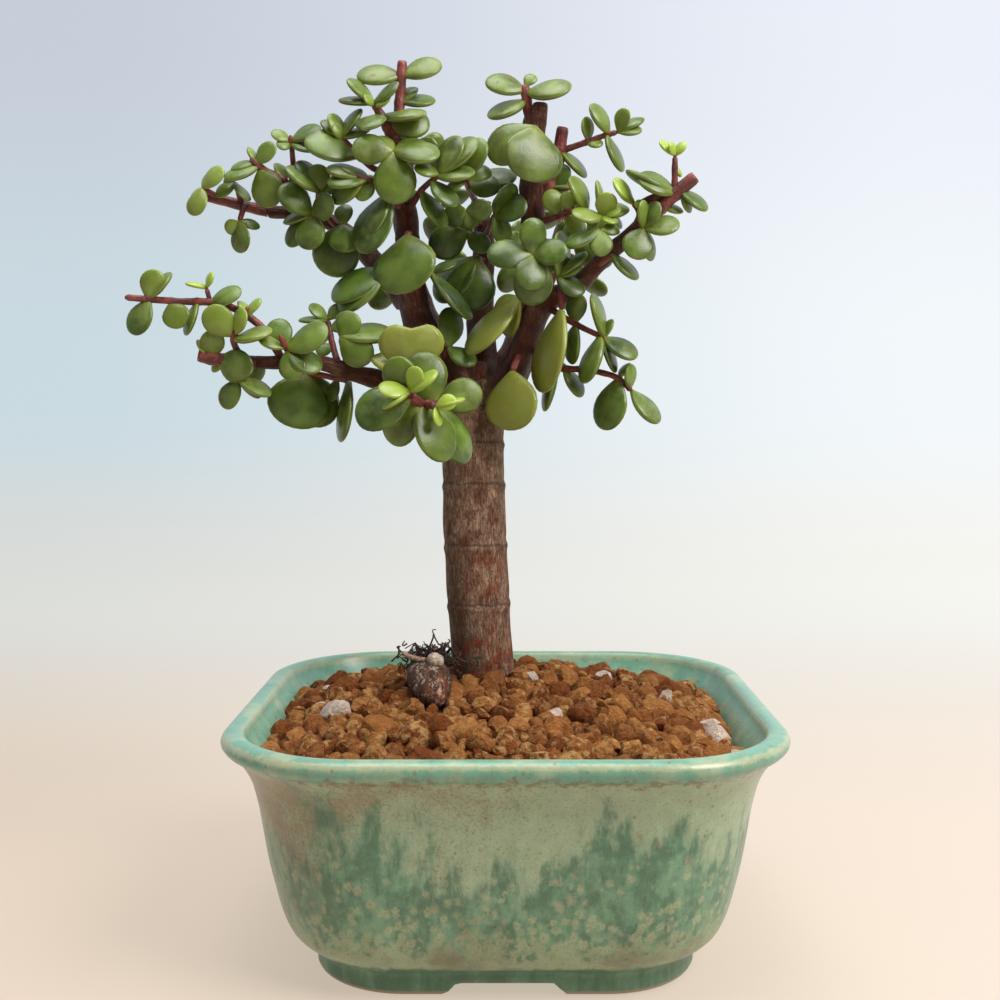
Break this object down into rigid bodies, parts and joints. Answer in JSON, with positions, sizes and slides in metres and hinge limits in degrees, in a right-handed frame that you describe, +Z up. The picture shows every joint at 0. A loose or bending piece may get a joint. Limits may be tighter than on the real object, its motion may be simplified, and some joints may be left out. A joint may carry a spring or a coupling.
{
  "type": "potted bonsai tree",
  "caption": "Dwarf jade bonsai: a thick-leaved succulent tree with a straight ringed trunk, standing in granular soil in a flared square-plan glazed pot on low feet.",
  "frame": {"origin": "bottom centre of the bounding box, on the surface that the pot's feet stand on", "axes": "+Z up, -Y towards the front of the pot, +X to the right seen from the front"},
  "size_m": [0.193, 0.15, 0.2698],
  "materials": {
    "glaze": "satin",
    "screen": "matte",
    "soil": "matte",
    "bark": "matte",
    "root": "matte",
    "leaf": "satin"
  },
  "bodies": {
    "root": {"pot": "glaze", "drain_screen_left": "screen", "drain_screen_right": "screen", "soil": "soil", "trunk": "bark", "old_root_stub": "root", "spray_far_left": "leaf", "spray_low_left_tip": "leaf", "spray_low_left_b": "leaf", "spray_low_left_c": "leaf", "spray_low_left_e": "leaf", "spray_low_left_g": "leaf", "spray_heart": "leaf", "spray_front": "leaf", "spray_round_leaf": "leaf", "spray_long_leaf": "leaf", "spray_lens_leaf": "leaf", "spray_dull_leaf": "leaf", "spray_shield_leaf": "leaf", "spray_left_a": "leaf", "spray_left_b": "leaf", "spray_left_c": "leaf", "spray_left_d": "leaf", "spray_left_e": "leaf", "spray_far_up_tip": "leaf", "spray_up_a": "leaf", "spray_far_up_a": "leaf", "spray_up_b": "leaf", "spray_up_c": "leaf", "spray_up_d": "leaf", "spray_top_left": "leaf", "spray_mid_a": "leaf", "spray_mid_b": "leaf", "spray_mid_c": "leaf", "spray_mid_d": "leaf", "spray_mid_e": "leaf", "spray_right_a": "leaf", "spray_rosette": "leaf", "spray_crown_leaf": "leaf", "spray_top_right": "leaf", "spray_right_b": "leaf", "spray_right_d": "leaf", "spray_right_e": "leaf", "spray_right_tip": "leaf", "spray_right_h": "leaf", "spray_right_i": "leaf", "spray_right_j": "leaf", "spray_right_low_a": "leaf", "spray_right_low_b": "leaf", "spray_right_k": "leaf", "spray_back_a": "leaf", "spray_back_b": "leaf", "spray_back_c": "leaf", "spray_back_d": "leaf", "spray_back_e": "leaf", "spray_back_f": "leaf", "spray_back_g": "leaf", "spray_back_h": "leaf", "spray_back_i": "leaf"}
  },
  "joints": []
}
